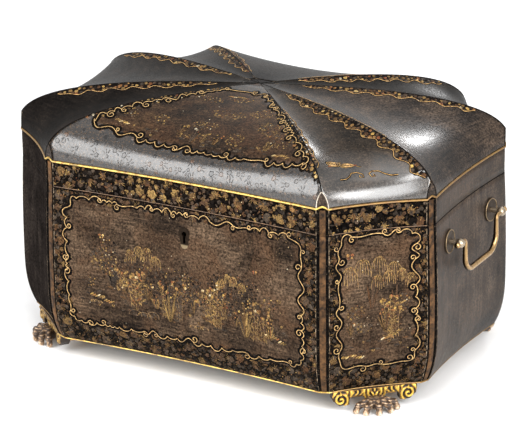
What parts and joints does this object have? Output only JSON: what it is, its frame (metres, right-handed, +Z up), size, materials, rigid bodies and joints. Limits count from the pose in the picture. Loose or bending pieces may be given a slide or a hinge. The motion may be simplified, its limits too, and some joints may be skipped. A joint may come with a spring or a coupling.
{
  "type": "deed box",
  "caption": "Octagonal lacquered deed box with an umbrella-domed hinged lid, brass bail handles and a box lock, on carved giltwood aprons with claw feet.",
  "frame": {"origin": "on the floor under the middle of the box", "axes": "+X to the right along the front, +Z up, the front faces -Y"},
  "size_m": [0.4044, 0.264, 0.2205],
  "materials": {
    "lid_lacquer": "glossy black-brown lacquer over wood, gilt leaf borders along the ridges",
    "border_lacquer": "black-brown lacquer over wood with dense gilt leaves",
    "painted_lacquer": "black-brown lacquer over wood with gilt scrolls and garden scenes",
    "plain_lacquer": "worn grey-brown lacquer over wood, satin",
    "gilt_bead": "gilded bead, worn",
    "giltwood": "carved giltwood",
    "worn_giltwood": "carved giltwood worn to a silvery gold",
    "dark_wood": "dark stained wood",
    "brass": "aged brass, rubbed bright",
    "lock_brass": "dull brass",
    "brass_screw": "dull brass, slotless pins and screws"
  },
  "bodies": {
    "case": {"back_corner_posts": "border_lacquer", "back_left_apron": "giltwood", "back_left_claw": "worn_giltwood", "back_left_facet_wall": "painted_lacquer", "back_right_apron": "giltwood", "back_right_claw": "worn_giltwood", "back_right_facet_wall": "painted_lacquer", "back_wall": "painted_lacquer", "base_bead": "gilt_bead", "base_board": "dark_wood", "foot_blocks": "dark_wood", "front_corner_posts": "border_lacquer", "front_left_apron": "giltwood", "front_left_claw": "worn_giltwood", "front_left_facet_wall": "painted_lacquer", "front_right_apron": "giltwood", "front_right_claw": "worn_giltwood", "front_right_facet_wall": "painted_lacquer", "front_wall": "painted_lacquer", "handle_nuts": "lock_brass", "hinge_body_leaves": "brass", "hinge_body_screws": "brass_screw", "hinge_pins": "brass_screw", "keyhole_insert": "brass", "left_handle_plates": "brass", "left_handle_posts": "brass", "left_wall": "plain_lacquer", "lock_case": "lock_brass", "lock_screws": "brass_screw", "right_handle_plates": "brass", "right_handle_posts": "brass", "right_wall": "plain_lacquer"},
    "lid": {"back_gore": "lid_lacquer", "back_left_facet_gore": "lid_lacquer", "back_left_facet_lid_rim": "border_lacquer", "back_lid_posts": "border_lacquer", "back_lid_rim": "border_lacquer", "back_right_facet_gore": "lid_lacquer", "back_right_facet_lid_rim": "border_lacquer", "crown_piece": "lid_lacquer", "front_gore": "lid_lacquer", "front_left_facet_gore": "lid_lacquer", "front_left_facet_lid_rim": "border_lacquer", "front_lid_posts": "border_lacquer", "front_lid_rim": "border_lacquer", "front_right_facet_gore": "lid_lacquer", "front_right_facet_lid_rim": "border_lacquer", "hinge_lid_leaves": "brass", "hinge_lid_screws": "brass_screw", "left_gore": "lid_lacquer", "left_lid_rim": "border_lacquer", "lock_staple": "lock_brass", "right_gore": "lid_lacquer", "right_lid_rim": "border_lacquer", "rim_bead": "gilt_bead", "staple_screws": "brass_screw"},
    "right_bail": {"right_bail": "brass"},
    "left_bail": {"left_bail": "brass"},
    "bolt": {"lock_bolt": "lock_brass"}
  },
  "joints": [
    {"name": "lid_hinge", "type": "hinge", "parent": "case", "child": "lid", "pos_m": [0, 0.13, 0.1531], "axis": [-1, 0, 0], "range_deg": [0, 95]},
    {"name": "right_bail_swing", "type": "hinge", "parent": "case", "child": "right_bail", "pos_m": [0.1984, 0, 0.1295], "axis": [0, -1, 0], "range_deg": [-10, 170]},
    {"name": "left_bail_swing", "type": "hinge", "parent": "case", "child": "left_bail", "pos_m": [-0.1984, 0, 0.1295], "axis": [0, 1, 0], "range_deg": [-10, 170]},
    {"name": "bolt_slide", "type": "slide", "parent": "case", "child": "bolt", "axis": [1, 0, 0], "range_m": [0, 0.008]}
  ]
}
